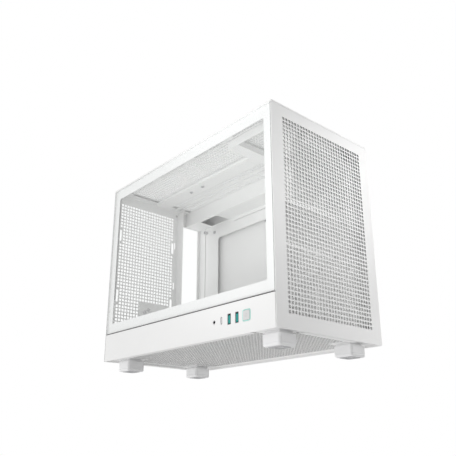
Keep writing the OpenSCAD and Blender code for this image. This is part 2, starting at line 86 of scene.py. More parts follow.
def shader(name, colour, roughness, metallic=0.0, **sockets):
    """A node material and its Principled shader, with any further sockets set directly."""
    made = bpy.data.materials.new(name)
    made.use_nodes = True
    principled = made.node_tree.nodes["Principled BSDF"]
    principled.inputs["Base Color"].default_value = (*colour, 1.0)
    principled.inputs["Roughness"].default_value = roughness
    principled.inputs["Metallic"].default_value = metallic
    for socket, value in sockets.items():
        principled.inputs[socket.replace("_", " ")].default_value = value
    return made, principled


def noise(made, scale, detail=2.0, stretch=(1.0, 1.0, 1.0)):
    """Noise over the object's own coordinates. scale is in features per metre."""
    nodes, links = made.node_tree.nodes, made.node_tree.links
    coordinates = nodes.new("ShaderNodeTexCoord")
    mapping = nodes.new("ShaderNodeMapping")
    mapping.inputs["Scale"].default_value = stretch
    texture = nodes.new("ShaderNodeTexNoise")
    texture.inputs["Scale"].default_value = scale
    texture.inputs["Detail"].default_value = detail
    links.new(coordinates.outputs["Object"], mapping.inputs["Vector"])
    links.new(mapping.outputs["Vector"], texture.inputs["Vector"])
    return texture.outputs["Fac"]


def ramp(made, factor, low, high, start=0.35, end=0.65):
    """Colour that runs from low to high as the factor goes from start to end."""
    node = made.node_tree.nodes.new("ShaderNodeValToRGB")
    for element, place, colour in zip(node.color_ramp.elements, (start, end), (low, high)):
        element.position = place
        element.color = (*colour, 1.0)
    made.node_tree.links.new(factor, node.inputs["Fac"])
    return node.outputs["Color"]


def surface(name, colour, roughness, grain, bump, spread=0.02, metallic=0.0, stretch=(1, 1, 1)):
    """A moulded, coated or brushed surface: fine relief, slow colour change and uneven roughness."""
    made, principled = shader(name, colour, roughness, metallic)
    nodes, links = made.node_tree.nodes, made.node_tree.links
    low = [c * (1 - spread) for c in colour]
    high = [min(c * (1 + spread), 1.0) for c in colour]
    links.new(ramp(made, noise(made, 14.0, 3.0), low, high), principled.inputs["Base Color"])
    fine = noise(made, grain, 2.0, stretch)
    rough_low, rough_high = [roughness - WEAR] * 3, [roughness + WEAR] * 3
    links.new(ramp(made, fine, rough_low, rough_high), principled.inputs["Roughness"])
    relief = nodes.new("ShaderNodeBump")
    relief.inputs["Strength"].default_value = bump
    relief.inputs["Distance"].default_value = RELIEF
    links.new(fine, relief.inputs["Height"])
    links.new(relief.outputs["Normal"], principled.inputs["Normal"])
    return made


def glass(name):
    """Clear glass with a faint, slowly changing tint."""
    made, principled = shader(name, (0.985, 0.995, 0.99), 0.0, IOR=1.5, Transmission_Weight=1.0)
    nodes, links = made.node_tree.nodes, made.node_tree.links
    tint = ramp(made, noise(made, 4.0), (0.98, 0.995, 0.988), (0.99, 0.998, 0.994))
    links.new(tint, principled.inputs["Base Color"])
    return made


def shaded_by_height(made, low, high, z0, z1):
    """Makes the material's colour run from low at height z0 to high at z1, both in metres."""
    nodes, links = made.node_tree.nodes, made.node_tree.links
    place = nodes.new("ShaderNodeTexCoord")
    height = nodes.new("ShaderNodeSeparateXYZ")
    share = nodes.new("ShaderNodeMapRange")
    links.new(place.outputs["Object"], height.inputs["Vector"])
    links.new(height.outputs["Z"], share.inputs["Value"])
    share.inputs["From Min"].default_value = z0
    share.inputs["From Max"].default_value = z1
    colour = ramp(made, share.outputs["Result"], low, high, 0.0, 1.0)
    links.new(colour, nodes["Principled BSDF"].inputs["Base Color"])


BRUSHED = (1, 1, 5)
FINISH = {
    "white_steel": surface("powder_coat_white", (0.90, 0.90, 0.895), 0.42, 1400.0, 0.12, 0.008),
    "bare_steel": surface("zinc_steel", (0.60, 0.60, 0.61), 0.3, 500.0, 0.2, 0.05, 1.0, BRUSHED),
    "black_plastic": surface("black_plastic", (0.022, 0.022, 0.024), 0.45, 1800.0, 0.25, 0.1),
    "circuit_board": surface("solder_mask", (0.03, 0.13, 0.07), 0.35, 600.0, 0.2, 0.12),
    "teal_plastic": surface("teal_plastic", (0.0, 0.31, 0.28), 0.32, 1500.0, 0.15, 0.04),
    "light_guide": surface("light_guide", (0.46, 0.86, 0.77), 0.38, 1300.0, 0.1, 0.03),
    "button_grey": surface("button_grey", (0.70, 0.70, 0.70), 0.4, 1800.0, 0.18, 0.02),
    "foot_plastic": surface("foot_plastic", (0.90, 0.90, 0.905), 0.36, 1600.0, 0.18, 0.012),
    "rubber_pad": surface("rubber_pad", (0.52, 0.52, 0.53), 0.75, 1400.0, 0.4, 0.08),
    "white_plastic": surface("white_plastic", (0.84, 0.84, 0.835), 0.45, 1700.0, 0.15, 0.01),
    "stud_grey": surface("stud_grey", (0.42, 0.42, 0.43), 0.4, 1500.0, 0.2, 0.04),
    "glass": glass("clear_glass"),
    "printed_border": surface("printed_white", (0.91, 0.91, 0.91), 0.3, 900.0, 0.03, 0.004),
}
GOLD = surface("gold_contact", (0.90, 0.68, 0.30), 0.25, 900.0, 0.1, 0.05, 1.0)


def hole_wall_painted_shade(name, colour):
    """Painted shade on the walls of the punched holes: a greyer colour than on the sheets, standing in
    for the shade inside them.
    """
    return surface(name, colour, 0.55, 1400.0, 0.12, 0.01)


# Painted shade on the front's hole walls: its upper holes open on to the deep, dim power supply space
# and its lower ones on to a white sheet, so their walls are painted from light at one height to dark at
# another, in metres
LIGHT_HOLES, DARK_HOLES = (0.84, 0.84, 0.835), (0.12, 0.12, 0.119)
LIGHT_BELOW, DARK_ABOVE = 0.10, 0.21
# Painted shade: the hole walls of the side and bottom sheets are grey, for the shade in the holes
PAINTED_HOLE_SHADE = hole_wall_painted_shade("hole_walls_painted_shade", (0.42, 0.42, 0.417))
PAINTED_FRONT_HOLE_SHADE = hole_wall_painted_shade("front_hole_walls_painted_shade", LIGHT_HOLES)
shaded_by_height(PAINTED_FRONT_HOLE_SHADE, LIGHT_HOLES, DARK_HOLES, LIGHT_BELOW, DARK_ABOVE)

record = frame["record"]
slot_of = {row["node"]: row["material_slot"] for row in record["subparts"]}
body_of = {node: body for body, nodes in record["behaviour"]["bodies"].items() for node in nodes}


# ---- Mesh building ----


def rounded(u0, v0, u1, v1, r, steps=4):
    """Outline of a rounded rectangle, as a function of how far it is grown."""

    def points(grow=0.0):
        radius = max(r + grow, 0.02)
        a0, b0, a1, b1 = u0 - grow, v0 - grow, u1 + grow, v1 + grow
        corners = ((a1, b0, -1, 1), (a1, b1, -1, -1), (a0, b1, 1, -1), (a0, b0, 1, 1))
        found = []
        for turn, (a, b, su, sv) in enumerate(corners):
            for i in range(steps + 1):
                angle = math.radians(90 * (turn - 1) + 90 * i / steps)
                u, v = su + math.cos(angle), sv + math.sin(angle)
                found.append((a + radius * u, b + radius * v))
        return found

    return points


def slot_line(u, v, length, width):
    """Outline of an upright slot with round ends."""
    return rounded(u - width / 2, v - length / 2, u + width / 2, v + length / 2, width / 2 - 0.02, 6)


def disc(u, v, r, count=32):
    """Outline of a circle."""

    def points(grow=0.0):
        turns = (2 * math.pi * i / count for i in range(count))
        return [(u + (r + grow) * math.cos(t), v + (r + grow) * math.sin(t)) for t in turns]

    return points


def cross(u, v, reach, half):
    """Outline of a cross recess."""
    corner = [(reach, -half), (reach, half), (half, half)]

    def points(grow=0.0):
        found = []
        for c, s in ((1, 0), (0, 1), (-1, 0), (0, -1)):
            found += [(u + a * c - b * s, v + a * s + b * c) for a, b in corner]
        return found

    return points


def vents(u, v, columns, rows, pitch_u, pitch_v, size, keep=lambda u, v: True):
    """Rounded square holes on a grid centred at (u, v), where keep allows them."""
    places = [
        (u + (i - (columns - 1) / 2) * pitch_u, v + (j - (rows - 1) / 2) * pitch_v)
        for i in range(columns)
        for j in range(rows)
    ]
    h = size / 2
    return [rounded(a - h, b - h, a + h, b + h, 1.0, 2) for a, b in places if keep(a, b)]


def edges(w0, w1, e=0.3, e1=None, steps=3):
    """Profile of a flat piece from w0 to w1 with round edges: pairs of growth and depth."""
    e1 = e if e1 is None else e1
    way = 1 if w1 > w0 else -1
    turns = [math.radians(90 * i / steps) for i in range(steps + 1)]
    first, last = [(0, w0)], [(0, w1)]
    if e:
        first = [(-e * (1 - math.sin(t)), w0 + way * e * (1 - math.cos(t))) for t in turns]
    if e1:
        last = [(-e1 * (1 - math.cos(t)), w1 - way * e1 * (1 - math.sin(t))) for t in turns]
    return first + last


# From u, v in a sheet's plane and its depth w, to x, y, z
PLANES = {
    "front": lambda u, v, w: (u, w, v),
    "side": lambda u, v, w: (w, u, v),
    "floor": lambda u, v, w: (u, v, w),
}


class Piece:
    """Gathers closed solids and makes one mesh object of them."""

    def __init__(self, name):
        self.name, self.verts, self.flat, self.faces, self.walls = name, [], [], [], []

    def loop(self, points, w, place):
        """Adds an outline's points at depth w, and gives their indices."""
        start = len(self.verts)
        self.flat += points
        self.verts += [CORNER + Vector(place(u, v, w)) * MM for u, v in points]
        return list(range(start, len(self.verts)))

    def fill(self, outer, holes=()):
        """Fills the flat area between a loop and the holes in it with triangles."""
        loops = [outer, *holes]
        index = [i for one in loops for i in one]
        polygons, start = [], 0
        for one in loops:
            polygons.append(list(range(start, start + len(one))))
            start += len(one)
        found = delaunay_2d_cdt([Vector(self.flat[i]) for i in index], [], polygons, 1, 1e-6)
        _, _, triangles, origin, _, source = found
        for triangle, inside in zip(triangles, source):
            if list(inside) == [0]:
                self.faces.append([index[origin[v][0]] for v in triangle])

    def band(self, a, b):
        """Joins two loops of the same length with quads."""
        for i in range(len(a)):
            j = (i + 1) % len(a)
            self.faces.append([a[i], a[j], b[j], b[i]])

    def solid(self, plane, outline, profile, holes=(), pits=(), hole_edge=0.0):
        """Sweeps the outline through the profile, which is pairs of growth and depth.

        Holes go through it, and pits go from its last face to a depth.
        """
        place = PLANES[plane]
        rings = [self.loop(outline(grow), w, place) for grow, w in profile]
        for a, b in zip(rings, rings[1:]):
            self.band(a, b)
        first, last = [], []
        w0, w1 = profile[0][1], profile[-1][1]
        steps = [(0, w0), (0, w1)]
        if hole_edge:
            rim = hole_edge if w1 > w0 else -hole_edge
            steps = [(hole_edge, w0), (0, w0 + rim), (0, w1 - rim), (hole_edge, w1)]
        for hole in holes:
            sleeve = [self.loop(hole(grow), w, place) for grow, w in steps]
            start = len(self.faces)
            for a, b in zip(sleeve, sleeve[1:]):
                self.band(a, b)
            self.walls += range(start, len(self.faces))
            first.append(sleeve[0])
            last.append(sleeve[-1])
        for hole, depth in pits:
            top = self.loop(hole(), w1, place)
            bottom = self.loop(hole(), depth, place)
            self.band(top, bottom)
            self.fill(bottom)
            last.append(top)
        self.fill(rings[0], first)
        self.fill(rings[-1], last)
        return self

    def slab(self, x0, x1, y0, y1, z0, z1, edge=0.2):
        """A folded strip or block along the axes."""
        e = min(edge, (x1 - x0) / 2.2, (y1 - y0) / 2.2, (z1 - z0) / 2.2)
        return self.solid("floor", rounded(x0, y0, x1, y1, e, 2), edges(z0, z1, e, steps=2))

    def screw(self, plane, u, v, w0, w1, r):
        """A screw's pan head from w0 to its top at w1, with a cross recess."""
        h = w1 - w0
        dome = ((0, 0), (0, 0.4), (0.07, 0.7), (0.22, 0.9), (0.4, 1))
        profile = [(-inward * r, w0 + rise * h) for inward, rise in dome]
        recess = (cross(u, v, 0.5 * r, 0.13 * r), w1 - 0.55 * h)
        return self.solid(plane, disc(u, v, r, 28), profile, pits=[recess])

    def make(self, material, node, extra=False, in_holes=None):
        """The finished object, riding on the node's body. An extra doesn't stand for the node."""
        mesh = bpy.data.meshes.new(self.name)
        mesh.from_pydata(self.verts, [], self.faces)
        work = bmesh.new()
        work.from_mesh(mesh)
        bmesh.ops.recalc_face_normals(work, faces=work.faces)
        work.to_mesh(mesh)
        work.free()
        mesh.shade_smooth()
        mesh.set_sharp_from_angle(angle=math.radians(40))
        mesh.materials.append(material)
        if in_holes:
            mesh.materials.append(in_holes)
            for index in self.walls:
                mesh.polygons[index].material_index = 1
        made = bpy.data.objects.new(self.name, mesh)
        bpy.context.scene.collection.objects.link(made)
        made.modifiers.new("normals", "WEIGHTED_NORMAL").keep_sharp = True
        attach(made, body_of[node])
        if not extra:
            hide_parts(node)
        return made


def finish_of(node):
    return FINISH[slot_of[node]]


def stand_for(piece, node, in_holes=None):
    """Makes the piece in the node's own finish, in place of that node."""
    return piece.make(finish_of(node), node, in_holes=in_holes)


def middle(node, axis):
    """The middle of a CAD node along one axis."""
    values = span(node)
    return (values[2 * axis] + values[2 * axis + 1]) / 2


def screw_set(name, node, plane, places, top, tip, height, head_r, shank_r, chamfer=0.4):
    """Screws in place of a node: heads this high with their tops at one depth, and tips at another."""
    way = 1 if tip > top else -1
    under = top + way * height
    shank = [(0, under - way * 0.1), (0, tip - way * chamfer), (-chamfer, tip)]
    screws = Piece(name)
    for u, v in places:
        screws.screw(plane, u, v, under, top, head_r)
        screws.solid(plane, disc(u, v, shank_r, 20), shank)
    stand_for(screws, node)


# ---- Outer panels ----

HOLE = 3.8  # side of a vent hole
PITCH_ACROSS = 5.36
PITCH_UP = 5.42
SOCKET_HOLE = 3.9  # radius of the holes that the stud sockets sit in
SOCKET_RIM = 5.0  # radius of the rim of a socket
CORNER_R = 0.8  # corners of the sheets
HEM = 0.6  # how far a folded strip stays inside the sheet it is on
y0, y1, z0, z1 = span("glass_sockets")[2:]
side_socket_y = (y0 + SOCKET_RIM, y1 - SOCKET_RIM)
side_socket_z = (z0 + SOCKET_RIM, z1 - SOCKET_RIM)

x0, x1, y0, y1, z0, z1 = span("front_panel_mesh")
CASE_W = x1
FRONT_VENT_Z = 142.0  # middle of the vent field
front = Piece("front_panel_sheet")
front.solid(
    "front",
    rounded(x0, z0, x1, z1, CORNER_R),
    edges(y1, y0, 0.0, 0.4),
    vents(CASE_W / 2, FRONT_VENT_Z, 29, 46, PITCH_ACROSS, PITCH_UP, HOLE),
)
stand_for(front, "front_panel_mesh", in_holes=PAINTED_FRONT_HOLE_SHADE)

x0, x1, y0, y1, z0, z1 = span("top_panel_mesh")
CASE_L = y1
LID = z0 - 0.35  # the lid's folded edge comes down nearly to the walls
rim = [(-SHEET, z1 - SHEET), (-SHEET, LID + 0.15), (-0.85, LID), (-0.15, LID), (0, LID + 0.1)]
top = Piece("top_panel_sheet")
top.solid(
    "floor",
    rounded(x0, y0, x1, y1, 1.2),
    rim + edges(LID, z1, 0.0, 0.5)[1:],
    vents(CASE_W / 2, CASE_L / 2, 29, 62, PITCH_ACROSS, PITCH_UP, HOLE),
)
stand_for(top, "top_panel_mesh")

x0, x1, y0, y1, z0, z1 = span("right_panel")
SIDE_VENT_Y, SIDE_VENT_Z = 66.0, 218.0  # middle of the power supply's vent field
FRONT_CUT, REAR_CUT = 14.0, 15.2  # how far the folded strips stop short of the ends
side = Piece("right_side_sheet")
side.solid(
    "side",
    rounded(y0, z0, y1, z1, CORNER_R),
    edges(x1 - SHEET, x1, 0.0, 0.4),
    vents(SIDE_VENT_Y, SIDE_VENT_Z, 18, 16, PITCH_ACROSS, PITCH_ACROSS, HOLE),
)
for a in (y0 + SHEET, y1 - 2 * SHEET):
    side.slab(x0, x1 - HEM, a, a + SHEET, side_socket_z[0] + 6, side_socket_z[1] - 6)
for a in (z0 + SHEET, z1 - 2 * SHEET):
    side.slab(x0, x1 - HEM, y0 + FRONT_CUT, y1 - REAR_CUT, a, a + SHEET)
stand_for(side, "right_panel", in_holes=PAINTED_HOLE_SHADE)

STRIP_R = 0.6  # corners of the lower strips
STRIP_REAR_CUT = 13.2
x0, x1, y0, y1, z0, z1 = span("right_skirt")
skirt = Piece("right_skirt_strip")
skirt.solid("side", rounded(y0, z0, y1, z1, STRIP_R), edges(x1 - SHEET, x1, 0.0, 0.4))
skirt.slab(x0, x1 - HEM, FRONT_CUT, y1 - STRIP_REAR_CUT, z1 - SHEET, z1)
stand_for(skirt, "right_skirt")


def around(node, half_y, half_z, r, steps=6):
    """Outline of a rounded rectangle centred on a node of the lower strip."""
    u, v = middle(node, 1), middle(node, 2)
    return rounded(u - half_y, v - half_z, u + half_y, v + half_z, r, steps)


AUDIO = (middle("audio_jack", 1), middle("audio_jack", 2))
openings = [around("button_light_ring", 7.0, 7.0, 2.8, 5), disc(*AUDIO, 2.6)]
openings += [around(f"usb_a_shell_{i}", 3.0, 6.75, 0.4) for i in (1, 2)]
openings.append(around("usb_c_shell", 1.85, 4.65, 1.8))
x0, x1, y0, y1, z0, z1 = span("left_skirt")
outline = rounded(y0, z0, y1, z1, STRIP_R)
strip = Piece("port_skirt_strip")
strip.solid("side", outline, edges(x0 + SHEET, x0, 0.0, 0.4), openings, hole_edge=0.12)
strip.slab(x0 + HEM, x1, FRONT_CUT, y1 - STRIP_REAR_CUT, z1 - SHEET, z1)
stand_for(strip, "left_skirt")

# ---- Glass panel ----

BAND = 0.3  # white band round the pane's edge
BORDER_FRONT, BORDER_REAR, BORDER_TOP, BORDER_LOW = 13.6, 13.4, 16.4, 15.0

x0, x1, y0, y1, z0, z1 = span("glass_sheet")
outer = rounded(y0, z0, y1, z1, 2.0, 10)
pane = Piece("glass_pane")
pane.solid("side", lambda grow=0.0: outer(grow - BAND), edges(x1, x0, 0.1, 0.25, steps=4))
pane = stand_for(pane, "glass_sheet")
pane.visible_shadow = False
pane.visible_diffuse = False

x0, x1, y0, y1, z0, z1 = span("glass_border")
low_corner, high_corner = (y0 + BORDER_FRONT, z0 + BORDER_LOW), (y1 - BORDER_REAR, z1 - BORDER_TOP)
window = rounded(*low_corner, *high_corner, 2.0, 8)
border = Piece("glass_printed_border")
border.solid("side", outer, edges(x0 + 0.02, x1, 0.0), [window])
border.solid("side", outer, edges(x0, BAND, 0.0, 0.1), [lambda grow=0.0: outer(grow - BAND + 0.02)])
stand_for(border, "glass_border")

x0, x1, y0, y1, z0, z1 = span("glass_sheet")
# Painted shade: a thin black strip under the pane's lower edge, standing in for the shadow in the seam
# below the glass
seam_shade = Piece("glass_seam_painted_shade")
seam_shade.slab(x0 + 0.5, x1 - 0.2, y0 + 2, y1 - 2, z0 - 0.7, z0 + 0.05, 0.1)
seam_shade.make(FINISH["black_plastic"], "glass_border", extra=True)

rails = Piece("glass_side_rails")
x0, x1, y0, y1, z0, z1 = span("glass_rails")
rails.slab(x0, x1, y0, y0 + 7.8, z0, z1, 0.4)
rails.slab(x0, x1, y1 - 9, y1, z0, z1, 0.4)
stand_for(rails, "glass_rails")

# ---- Rear wall ----

x0, x1, y0, y1, z0, z1 = span("rear_wall")
REAR_IN = y1 - SHEET
FAN_X = 69.5
FAN_SPACING = 105.0  # between the holes of a 120 mm fan
FAN_SLOT_Z = (208.5, 106.5)
fan_slots = [(FAN_X + s * FAN_SPACING / 2, z) for s in (-1, 1) for z in FAN_SLOT_Z]
cover_z = [middle(f"slot_cover_{i}", 2) for i in (1, 2, 3)]
SLOT_X0, SLOT_L, SLOT_W = 80.0, 98.0, 14.6  # expansion slots
IO_X0, IO_W, IO_H, IO_Z0 = 133.5, 44.45, 158.75, 95.5  # opening for the motherboard's connectors
INLET = (40.0, 24.0)  # middle of the power inlet
INLET_HALF_W, INLET_HALF_H = 14.0, 10.2
GRILLE_Z = 159.9  # middle of the fan grille
GRILLE_PITCH = 5.4
GRILLE_LOW = 104.0  # below this height only the columns up to GRILLE_OUTER are open
GRILLE_OUTER = 57.0
SIDE_SLOT_X = 126.6  # two narrow slots beside the grille


def open_in_rear(u, v):
    """Where the grille is open: clear of the fan slots, and only its outer columns beside the covers."""
    near_slot = any(abs(u - a) < 4.8 and abs(v - b) < 12.5 for a, b in fan_slots)
    return not near_slot and (v > GRILLE_LOW or u < GRILLE_OUTER)


holes = vents(FAN_X, GRILLE_Z, 20, 39, GRILLE_PITCH, PITCH_UP, HOLE, open_in_rear)
holes += [slot_line(a, b, 20, 4.4) for a, b in fan_slots]
holes += [slot_line(SIDE_SLOT_X, z, 12.7, 2.4) for z in (214, 140.8)]
holes.append(rounded(IO_X0, IO_Z0, IO_X0 + IO_W, IO_Z0 + IO_H, 0.5))
holes += [rounded(SLOT_X0, z - SLOT_W / 2, SLOT_X0 + SLOT_L, z + SLOT_W / 2, 0.5) for z in cover_z]
u, v = INLET
holes.append(rounded(u - INLET_HALF_W, v - INLET_HALF_H, u + INLET_HALF_W, v + INLET_HALF_H, 1))
rear = Piece("rear_wall_sheet")
rear.solid("front", rounded(x0, z0, x1, z1, CORNER_R), edges(REAR_IN, y1, 0.0, 0.4), holes)

WING_X = 9.0
WING_DEPTH, INNER_WING_DEPTH = 10.0, 16.0
WING_Z0, WING_TOP = 96.5, 276.0
tray_x = span("motherboard_tray")[0]
# Where each wing is folded in, its lowest and highest points, its depth and the heights of its sockets
wings = (
    (WING_X, WING_Z0, z1, WING_DEPTH, [side_socket_z[1]]),
    (WING_X, 40, 56, WING_DEPTH, [side_socket_z[0]]),
    (IO_X0 - 1.4, WING_Z0, WING_TOP, INNER_WING_DEPTH, []),
    (tray_x, 4, WING_TOP, INNER_WING_DEPTH, side_socket_z),
)
for x, low, high, depth, sockets in wings:
    outline = rounded(REAR_IN - depth, low, REAR_IN + 0.4, high, 0.4)
    socket_holes = [disc(side_socket_y[1], z, SOCKET_HOLE) for z in sockets]
    rear.solid("side", outline, edges(x, x + SHEET, 0.15), socket_holes)
# Fold along the top edge
rear.slab(WING_X + SHEET, 119, REAR_IN - 12, REAR_IN + 0.4, 279.5, 280.5)
stand_for(rear, "rear_wall")

# ---- Bottom ----

x0, x1, y0, y1, z0, z1 = span("bottom_plate")
FEET = ("foot_front_left", "foot_front_right", "foot_rear_left", "foot_rear_right")
feet = [(node, middle(node, 0), middle(node, 1)) for node in FEET]
FLOOR_UP = 3.0  # how far the perforated sheet is set up behind its rolled edges
LIP = 8.0  # width of the rolled edges
SEAT = 15.7  # from a foot's middle to the end of the rolled edges beside it
NO_VENTS = 20.0  # from a foot's middle to the nearest vent holes


def clear_of_feet(u, v):
    return all(abs(u - a) > NO_VENTS or abs(v - b) > NO_VENTS for _, a, b in feet)


base = Piece("bottom_sheet")
vent_rows = vents(CASE_W / 2, CASE_L / 2, 31, 62, PITCH_ACROSS, PITCH_UP, HOLE, clear_of_feet)
base.solid(
    "floor",
    rounded(x0, y0, x1, y1, 0.4),
    edges(FLOOR_UP + SHEET, FLOOR_UP, 0.0, 0.1),
    vent_rows,
)
clear_x, clear_y = (min(f[i] for f in feet) + SEAT for i in (1, 2))
for lip, wall in ((x0, x0 + LIP - SHEET), (x1 - LIP, x1 - LIP)):
    base.slab(lip, lip + LIP, clear_y, CASE_L - clear_y, z0, z0 + SHEET)
    base.slab(wall, wall + SHEET, clear_y, CASE_L - clear_y, z0 + 0.5, FLOOR_UP + 0.5)
for lip, wall in ((y0, y0 + LIP - SHEET), (y1 - LIP, y1 - LIP)):
    base.slab(clear_x, CASE_W - clear_x, lip, lip + LIP, z0, z0 + SHEET)
    base.slab(clear_x, CASE_W - clear_x, wall, wall + SHEET, z0 + 0.5, FLOOR_UP + 0.5)
# Flanges that the lower strips are fixed to
for x in (x0, x1 - SHEET):
    base.slab(x, x + SHEET, 50, CASE_L - 50, FLOOR_UP + 0.5, 9)
stand_for(base, "bottom_plate", in_holes=PAINTED_HOLE_SHADE)

# ---- Feet ----

FOOT_R = 4.0
NECK = 3.5  # how far the neck is set in
NECK_SHOWN = 0.5  # how far it shows below the shell
SCREW_WELL_R = 5.0
for node, u, v in feet:
    x0, x1, y0, y1, z0, z1 = span(node)
    shoulder, groove = -NECK_SHOWN, z0 + 3.1
    profile = [(-NECK, z1), (-NECK, shoulder), (-0.4, shoulder), (0, shoulder - 0.4)]
    profile += [(0, groove + 0.9), (-0.5, groove + 0.7), (-0.5, groove + 0.35), (0, groove + 0.15)]
    profile += [(-0.1, z0 + 1.9), (-0.5, z0 + 1.1), (-1.2, z0 + 0.4), (-2.1, z0)]
    foot = Piece(node.replace("foot_", "rounded_foot_"))
    outline = rounded(x0, y0, x1, y1, FOOT_R, 10)
    foot.solid("floor", outline, profile, pits=[(disc(u, v, SCREW_WELL_R), z0 + 8.5)])
    stand_for(foot, node)

pads = Piece("foot_rubber_pads")
z0, z1 = span("foot_pads")[4:]
for _, u, v in feet:
    outline = rounded(u - 10.5, v - 10.5, u + 10.5, v + 10.5, 4.0, 6)
    pads.solid("floor", outline, edges(z1 + 0.1, z0, 0.0, 0.25), [disc(u, v, SCREW_WELL_R + 0.4)])
stand_for(pads, "foot_pads")

z0, z1 = span("foot_screws")[4:]
places = [(u, v) for _, u, v in feet]
screw_set("foot_fixing_screws", "foot_screws", "floor", places, z0, z1, 2.4, 3.6, 1.9, 0.6)

# ---- Power button and ports ----


def power_arc(u, v, r, width, gap, steps=18):
    """Outline of an open ring with its gap at the top."""

    def points(grow=0.0):
        turns = [math.radians(90 + gap + (360 - 2 * gap) * i / steps) for i in range(steps + 1)]
        rays = [(math.cos(t), math.sin(t)) for t in turns]
        outer, inner = r + width / 2, r - width / 2
        return [(u + outer * c, v + outer * s) for c, s in rays] + [
            (u + inner * c, v + inner * s) for c, s in reversed(rays)
        ]

    return points


MARK_WIDTH = 0.42
MARK_DEPTH = 0.18
CAP_BACK = 3.0  # depth of the back of the cap
x0, x1, y0, y1, z0, z1 = span("power_button")
u, v = middle("power_button", 1), middle("power_button", 2)
stroke = rounded(u - MARK_WIDTH / 2, v + 0.5, u + MARK_WIDTH / 2, v + 2.3, 0.1, 2)
mark = [(outline, x0 + MARK_DEPTH) for outline in (power_arc(u, v, 1.75, MARK_WIDTH, 34), stroke)]
cap = Piece("power_button_cap")
outline = around("power_button", (y1 - y0) / 2, (y1 - y0) / 2, 1.7, 8)
cap.solid("side", outline, edges(CAP_BACK, x0, 0.0, 0.45, steps=4), pits=mark)
cap.solid("side", disc(u, v, 1.6, 20), [(0, CAP_BACK - 0.2), (0, x1)])
stand_for(cap, "power_button")

x0, x1 = span("button_light_ring")[:2]
hole = around("power_button", 5.95, 5.95, 1.9, 8)
ring = Piece("power_button_ring")
outline = around("power_button", 6.8, 6.8, 2.7, 8)
ring.solid("side", outline, edges(SHEET, x0, 0.0, 0.2, steps=2), [hole])
ring.solid("side", around("power_button", 8.4, 8.4, 2.7, 8), edges(SHEET, x1, 0.0), [hole])
stand_for(ring, "button_light_ring")

CONTACT_PITCH = 2.0
SHELL_WALL = 0.37
LINING = 0.33  # thickness of the dark lining in the metal shell
for i in (1, 2):
    x0, x1, y0, y1, z0, z1 = span(f"usb_a_tongue_{i}")
    tongue = Piece(f"usb_a_tongue_block_{i}")
    tongue.slab(x0 - 0.5, x1, y0 - 1.4, y1 + 0.15, z0 + 0.6, z1 - 1.2, 0.2)
    stand_for(tongue, f"usb_a_tongue_{i}")
    contacts = Piece(f"usb_a_contacts_{i}")
    for k in range(4):
        z = (z0 + z1) / 2 + (k - 1.5) * CONTACT_PITCH
        contacts.slab(x0 + 0.6, x1 - 1, y0 - 1.52, y0 - 1.3, z - 0.4, z + 0.4, 0.04)
    contacts.make(GOLD, f"usb_a_shell_{i}", extra=True)
    x0, x1, y0, y1, z0, z1 = span(f"usb_a_shell_{i}")
    outer, inner = (
        rounded(y0 + inset, z0 + inset, y1 - inset, z1 - inset, 0.2, 2)
        for inset in (SHELL_WALL, SHELL_WALL + LINING)
    )
    lining = Piece(f"usb_a_lining_{i}")
    lining.solid("side", outer, edges(x0 + 0.1, x1 - 2.2, 0.0), [inner])
    lining.make(FINISH["black_plastic"], "button_switch", extra=True)

x0, x1, y0, y1, z0, z1 = span("usb_c_tongue")
outline = rounded(y0 - 0.3, z0 - 0.2, y1 + 0.3, z1 + 0.2, 1.0, 5)
tongue = Piece("usb_c_tongue_block")
tongue.solid("side", outline, edges(x1, x0 - 0.5, 0.0, 0.1))
stand_for(tongue, "usb_c_tongue")

x0 = span("audio_jack")[0]
collar = Piece("audio_jack_collar")
collar.solid("side", disc(*AUDIO, 2.5), edges(x0 + 0.6, x0 - 0.2, 0.0, 0.15), [disc(*AUDIO, 1.8)])
collar.make(FINISH["bare_steel"], "usb_c_shell", extra=True)

# ---- Screws seen inside and at the rear ----

HEAD_R = 3.0
SHANK_R = 1.5
y0, y1 = span("slot_screws")[2:4]
places = [(76.3, 91.1), (69.3, 85.9), (69.3, cover_z[1]), (69.3, cover_z[2])]
screw_set("expansion_slot_screws", "slot_screws", "front", places, y0, y1, 2.4, HEAD_R, 1.4)

z0, z1 = span("brace_screws")[4:]
places = [(89.5, CASE_L - 95.8), (89.5, CASE_L - 125.4)]
screw_set("top_brace_screws", "brace_screws", "floor", places, z0, z1, 1.6, HEAD_R, SHANK_R)

x0, x1 = span("tray_screws")[:2]
places = [(y, z) for z in (241.7, 16) for y in (324.3, 80)]
screw_set("tray_fixing_screws", "tray_screws", "side", places, x0, x1, 1.8, HEAD_R, SHANK_R)

y0, y1 = span("ac_inlet_screws")[2:4]
places = [(INLET[0] - 20, INLET[1]), (INLET[0] + 20, INLET[1])]
screw_set("power_inlet_screws", "ac_inlet_screws", "front", places, y1, y0, 1.4, HEAD_R, SHANK_R)

# ---- CAD nodes that stay: materials, and slightly rounded edges on the sheet metal ----

